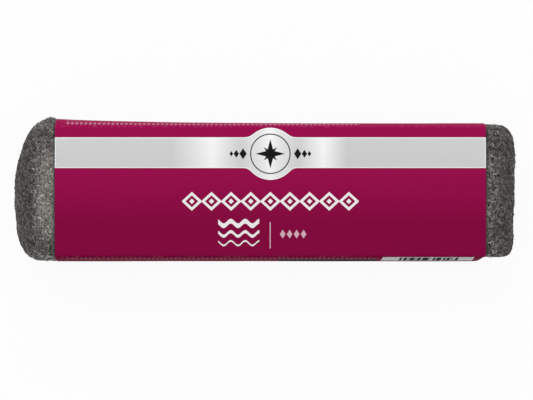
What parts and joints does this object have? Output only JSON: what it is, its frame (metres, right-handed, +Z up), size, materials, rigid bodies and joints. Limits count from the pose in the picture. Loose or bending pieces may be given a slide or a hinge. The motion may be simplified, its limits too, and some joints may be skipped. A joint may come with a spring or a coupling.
{
  "type": "steel wool pad in a paper sleeve",
  "caption": "Folded pad of fine steel wool lying in a creased, printed paper sleeve, with its soft ends standing out of both mouths.",
  "frame": {"origin": "middle of the box's underside, on the surface that the pad lies on", "axes": "+X along the pad, +Y to its far long side, +Z up, out of the printed front"},
  "size_m": [0.2464, 0.0714, 0.042],
  "materials": {
    "steel_wool": "felted fine steel fibres, dull grey",
    "printed_paper": "coated paper, satin, magenta with a silver band"
  },
  "bodies": {
    "root": {"wool_pad": "steel_wool", "paper_sleeve": "printed_paper"}
  },
  "joints": []
}
